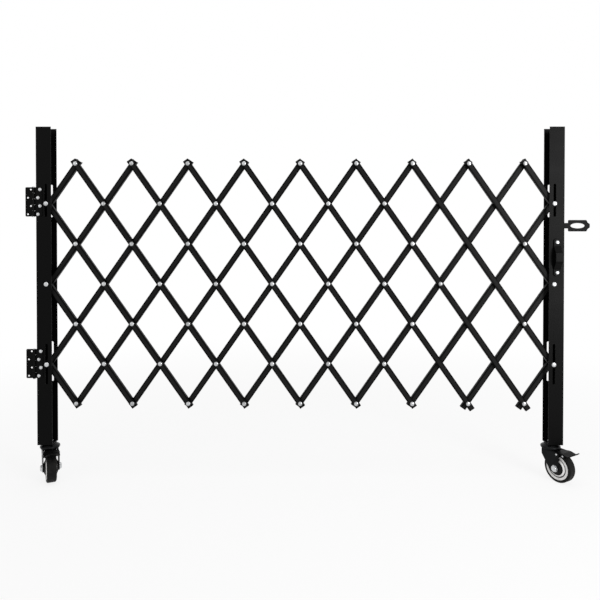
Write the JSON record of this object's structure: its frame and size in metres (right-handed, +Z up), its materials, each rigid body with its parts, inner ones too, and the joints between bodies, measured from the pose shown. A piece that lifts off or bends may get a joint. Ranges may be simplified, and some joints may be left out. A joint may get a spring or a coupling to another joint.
{
  "type": "folding scissor gate",
  "caption": "Folding scissor gate for doorways: channel posts on braked swivel casters, a riveted lattice of channel bars, butt hinges at one post, a bow pull and a padlock tongue at the other.",
  "frame": {"origin": "on the floor, under the middle of the whole gate with its hinge leaves, padlock tongue and casters", "axes": "+X along the lattice from the hinge post to the latch post, +Z up, the front of the gate faces -Y"},
  "size_m": [1.9334, 0.1288, 1.2107],
  "materials": {
    "black_coat": "semi-gloss powder coat",
    "bar_coat": "semi-gloss powder coat",
    "zinc": "bright zinc plate",
    "dark_steel": "black zinc plate",
    "tyre_rubber": "matte rubber",
    "nylon": "matte moulded"
  },
  "bodies": {
    "wall_leaves": {"upper_wall_leaf": "black_coat", "lower_wall_leaf": "black_coat", "upper_hinge_pin": "zinc", "lower_hinge_pin": "zinc"},
    "left_post": {"left_post": "black_coat", "upper_post_leaf": "black_coat", "lower_post_leaf": "black_coat", "left_foot_plate": "black_coat", "left_middle_pivot_pin": "zinc", "left_caster_race_cup": "dark_steel", "left_caster_kingpin": "zinc"},
    "right_post": {"right_post": "black_coat", "right_foot_plate": "black_coat", "right_middle_pivot_pin": "zinc", "pull_handle": "black_coat", "lower_handle_bolt": "zinc", "upper_handle_bolt": "zinc", "padlock_tongue": "black_coat", "right_caster_race_cup": "dark_steel", "right_caster_kingpin": "zinc"},
    "left_fork": {"left_caster_fork": "dark_steel", "left_caster_axle": "zinc"},
    "left_wheel": {"left_caster_tyre": "tyre_rubber", "left_caster_wheel_hub": "nylon"},
    "left_brake_pedal": {"left_caster_brake_pedal": "black_coat"},
    "right_fork": {"right_caster_fork": "dark_steel", "right_caster_axle": "zinc"},
    "right_wheel": {"right_caster_tyre": "tyre_rubber", "right_caster_wheel_hub": "nylon"},
    "right_brake_pedal": {"right_caster_brake_pedal": "black_coat"},
    "front_bar_01": {"front_bar_01": "bar_coat", "left_lower_slide_pin": "zinc"},
    "front_bar_02": {"front_bar_02": "bar_coat"},
    "front_bar_03": {"front_bar_03": "bar_coat", "left_upper_slide_pin": "zinc"},
    "front_bar_04": {"front_bar_04": "bar_coat"},
    "front_bar_05": {"front_bar_05": "bar_coat"},
    "front_bar_06": {"front_bar_06": "bar_coat"},
    "front_bar_07": {"front_bar_07": "bar_coat"},
    "front_bar_08": {"front_bar_08": "bar_coat"},
    "front_bar_09": {"front_bar_09": "bar_coat"},
    "front_bar_10": {"front_bar_10": "bar_coat", "right_lower_slide_pin": "zinc"},
    "front_bar_11": {"front_bar_11": "bar_coat"},
    "front_bar_12": {"front_bar_12": "bar_coat", "right_upper_slide_pin": "zinc"},
    "rear_bar_01": {"rear_bar_01": "bar_coat"},
    "rear_bar_02": {"rear_bar_02": "bar_coat"},
    "rear_bar_03": {"rear_bar_03": "bar_coat"},
    "rear_bar_04": {"rear_bar_04": "bar_coat"},
    "rear_bar_05": {"rear_bar_05": "bar_coat"},
    "rear_bar_06": {"rear_bar_06": "bar_coat"},
    "rear_bar_07": {"rear_bar_07": "bar_coat"},
    "rear_bar_08": {"rear_bar_08": "bar_coat"},
    "rear_bar_09": {"rear_bar_09": "bar_coat"},
    "rear_bar_10": {"rear_bar_10": "bar_coat"},
    "rear_bar_11": {"rear_bar_11": "bar_coat"},
    "rear_bar_12": {"rear_bar_12": "bar_coat"}
  },
  "joints": [
    {"name": "gate_swing", "type": "hinge", "parent": "wall_leaves", "child": "left_post", "pos_m": [-0.93875, 0.00164, 0.6737], "axis": [0, 0, 1], "range_deg": [-175, 0]},
    {"name": "lattice_fold", "type": "hinge", "parent": "left_post", "child": "front_bar_02", "pos_m": [-0.89875, 0.03144, 0.6737], "axis": [0, 1, 0], "range_deg": [-10, 31.4]},
    {"name": "rear_bar_02_turn", "type": "hinge", "parent": "left_post", "child": "rear_bar_02", "pos_m": [-0.89875, 0.03144, 0.6737], "axis": [0, 1, 0], "range_deg": [-31.4, 10]},
    {"name": "rear_bar_03_turn", "type": "hinge", "parent": "front_bar_02", "child": "rear_bar_03", "pos_m": [-0.80239, 0.03144, 0.53608], "axis": [0, 1, 0], "range_deg": [-62.8, 20]},
    {"name": "rear_bar_04_turn", "type": "hinge", "parent": "front_bar_02", "child": "rear_bar_04", "pos_m": [-0.70603, 0.03144, 0.39846], "axis": [0, 1, 0], "range_deg": [-62.8, 20]},
    {"name": "rear_bar_05_turn", "type": "hinge", "parent": "front_bar_02", "child": "rear_bar_05", "pos_m": [-0.60967, 0.03144, 0.26085], "axis": [0, 1, 0], "range_deg": [-62.8, 20]},
    {"name": "front_bar_03_turn", "type": "hinge", "parent": "rear_bar_02", "child": "front_bar_03", "pos_m": [-0.80239, 0.03144, 0.81132], "axis": [0, 1, 0], "range_deg": [-20, 62.8]},
    {"name": "front_bar_04_turn", "type": "hinge", "parent": "rear_bar_02", "child": "front_bar_04", "pos_m": [-0.70603, 0.03144, 0.94894], "axis": [0, 1, 0], "range_deg": [-20, 62.8]},
    {"name": "front_bar_05_turn", "type": "hinge", "parent": "rear_bar_02", "child": "front_bar_05", "pos_m": [-0.60967, 0.03144, 1.08655], "axis": [0, 1, 0], "range_deg": [-20, 62.8]},
    {"name": "front_bar_06_turn", "type": "hinge", "parent": "rear_bar_05", "child": "front_bar_06", "pos_m": [-0.22422, 0.03144, 0.81132], "axis": [0, 1, 0], "range_deg": [-20, 62.8]},
    {"name": "front_bar_07_turn", "type": "hinge", "parent": "rear_bar_05", "child": "front_bar_07", "pos_m": [-0.12786, 0.03144, 0.94894], "axis": [0, 1, 0], "range_deg": [-20, 62.8]},
    {"name": "front_bar_08_turn", "type": "hinge", "parent": "rear_bar_05", "child": "front_bar_08", "pos_m": [-0.0315, 0.03144, 1.08655], "axis": [0, 1, 0], "range_deg": [-20, 62.8]},
    {"name": "rear_bar_06_turn", "type": "hinge", "parent": "front_bar_05", "child": "rear_bar_06", "pos_m": [-0.22422, 0.03144, 0.53608], "axis": [0, 1, 0], "range_deg": [-62.8, 20]},
    {"name": "rear_bar_07_turn", "type": "hinge", "parent": "front_bar_05", "child": "rear_bar_07", "pos_m": [-0.12786, 0.03144, 0.39846], "axis": [0, 1, 0], "range_deg": [-62.8, 20]},
    {"name": "rear_bar_08_turn", "type": "hinge", "parent": "front_bar_05", "child": "rear_bar_08", "pos_m": [-0.0315, 0.03144, 0.26085], "axis": [0, 1, 0], "range_deg": [-62.8, 20]},
    {"name": "front_bar_01_turn", "type": "hinge", "parent": "rear_bar_04", "child": "front_bar_01", "pos_m": [-0.80239, 0.03144, 0.26085], "axis": [0, 1, 0], "range_deg": [-20, 62.8]},
    {"name": "rear_bar_01_turn", "type": "hinge", "parent": "front_bar_04", "child": "rear_bar_01", "pos_m": [-0.80239, 0.03144, 1.08655], "axis": [0, 1, 0], "range_deg": [-62.8, 20]},
    {"name": "front_bar_09_turn", "type": "hinge", "parent": "rear_bar_08", "child": "front_bar_09", "pos_m": [0.35394, 0.03144, 0.81132], "axis": [0, 1, 0], "range_deg": [-20, 62.8]},
    {"name": "front_bar_11_turn", "type": "hinge", "parent": "rear_bar_08", "child": "front_bar_11", "pos_m": [0.54666, 0.03144, 1.08655], "axis": [0, 1, 0], "range_deg": [-20, 62.8]},
    {"name": "front_bar_10_turn", "type": "hinge", "parent": "rear_bar_07", "child": "front_bar_10", "pos_m": [0.35394, 0.03144, 1.08655], "axis": [0, 1, 0], "range_deg": [-20, 62.8]},
    {"name": "rear_bar_09_turn", "type": "hinge", "parent": "front_bar_08", "child": "rear_bar_09", "pos_m": [0.35394, 0.03144, 0.53608], "axis": [0, 1, 0], "range_deg": [-62.8, 20]},
    {"name": "rear_bar_11_turn", "type": "hinge", "parent": "front_bar_08", "child": "rear_bar_11", "pos_m": [0.54666, 0.03144, 0.26085], "axis": [0, 1, 0], "range_deg": [-62.8, 20]},
    {"name": "rear_bar_10_turn", "type": "hinge", "parent": "front_bar_07", "child": "rear_bar_10", "pos_m": [0.35394, 0.03144, 0.26085], "axis": [0, 1, 0], "range_deg": [-62.8, 20]},
    {"name": "front_bar_12_turn", "type": "hinge", "parent": "rear_bar_09", "child": "front_bar_12", "pos_m": [0.73939, 0.03144, 1.08655], "axis": [0, 1, 0], "range_deg": [-20, 62.8]},
    {"name": "rear_bar_12_turn", "type": "hinge", "parent": "front_bar_09", "child": "rear_bar_12", "pos_m": [0.73939, 0.03144, 0.26085], "axis": [0, 1, 0], "range_deg": [-62.8, 20]},
    {"name": "right_post_turn", "type": "hinge", "parent": "rear_bar_11", "child": "right_post", "pos_m": [0.83575, 0.03144, 0.6737], "axis": [0, 1, 0], "range_deg": [-10, 31.4]},
    {"name": "left_swivel", "type": "hinge", "parent": "left_post", "child": "left_fork", "pos_m": [-0.89875, 0.03144, 0.118], "axis": [0, 0, 1], "continuous": true},
    {"name": "left_wheel_spin", "type": "hinge", "parent": "left_fork", "child": "left_wheel", "pos_m": [-0.88268, -0.00078, 0.05], "axis": [0.8949, 0.4462, 0], "continuous": true},
    {"name": "left_brake", "type": "hinge", "parent": "left_fork", "child": "left_brake_pedal", "pos_m": [-0.88045, -0.00525, 0.099], "axis": [0.8949, 0.4462, 0], "range_deg": [0, 10]},
    {"name": "right_swivel", "type": "hinge", "parent": "right_post", "child": "right_fork", "pos_m": [0.83575, 0.03144, 0.118], "axis": [0, 0, 1], "continuous": true},
    {"name": "right_wheel_spin", "type": "hinge", "parent": "right_fork", "child": "right_wheel", "pos_m": [0.85482, 0.00091, 0.05], "axis": [0.848, 0.5299, 0], "continuous": true},
    {"name": "right_brake", "type": "hinge", "parent": "right_fork", "child": "right_brake_pedal", "pos_m": [0.85747, -0.00333, 0.099], "axis": [0.848, 0.5299, 0], "range_deg": [0, 10]}
  ],
  "couplings": [
    {"joint": "rear_bar_02_turn", "follows": "lattice_fold", "ratio": -1},
    {"joint": "rear_bar_03_turn", "follows": "lattice_fold", "ratio": -2},
    {"joint": "rear_bar_04_turn", "follows": "lattice_fold", "ratio": -2},
    {"joint": "rear_bar_05_turn", "follows": "lattice_fold", "ratio": -2},
    {"joint": "front_bar_03_turn", "follows": "lattice_fold", "ratio": 2},
    {"joint": "front_bar_04_turn", "follows": "lattice_fold", "ratio": 2},
    {"joint": "front_bar_05_turn", "follows": "lattice_fold", "ratio": 2},
    {"joint": "front_bar_06_turn", "follows": "lattice_fold", "ratio": 2},
    {"joint": "front_bar_07_turn", "follows": "lattice_fold", "ratio": 2},
    {"joint": "front_bar_08_turn", "follows": "lattice_fold", "ratio": 2},
    {"joint": "rear_bar_06_turn", "follows": "lattice_fold", "ratio": -2},
    {"joint": "rear_bar_07_turn", "follows": "lattice_fold", "ratio": -2},
    {"joint": "rear_bar_08_turn", "follows": "lattice_fold", "ratio": -2},
    {"joint": "front_bar_01_turn", "follows": "lattice_fold", "ratio": 2},
    {"joint": "rear_bar_01_turn", "follows": "lattice_fold", "ratio": -2},
    {"joint": "front_bar_09_turn", "follows": "lattice_fold", "ratio": 2},
    {"joint": "front_bar_11_turn", "follows": "lattice_fold", "ratio": 2},
    {"joint": "front_bar_10_turn", "follows": "lattice_fold", "ratio": 2},
    {"joint": "rear_bar_09_turn", "follows": "lattice_fold", "ratio": -2},
    {"joint": "rear_bar_11_turn", "follows": "lattice_fold", "ratio": -2},
    {"joint": "rear_bar_10_turn", "follows": "lattice_fold", "ratio": -2},
    {"joint": "front_bar_12_turn", "follows": "lattice_fold", "ratio": 2},
    {"joint": "rear_bar_12_turn", "follows": "lattice_fold", "ratio": -2},
    {"joint": "right_post_turn", "follows": "lattice_fold", "ratio": 1}
  ]
}
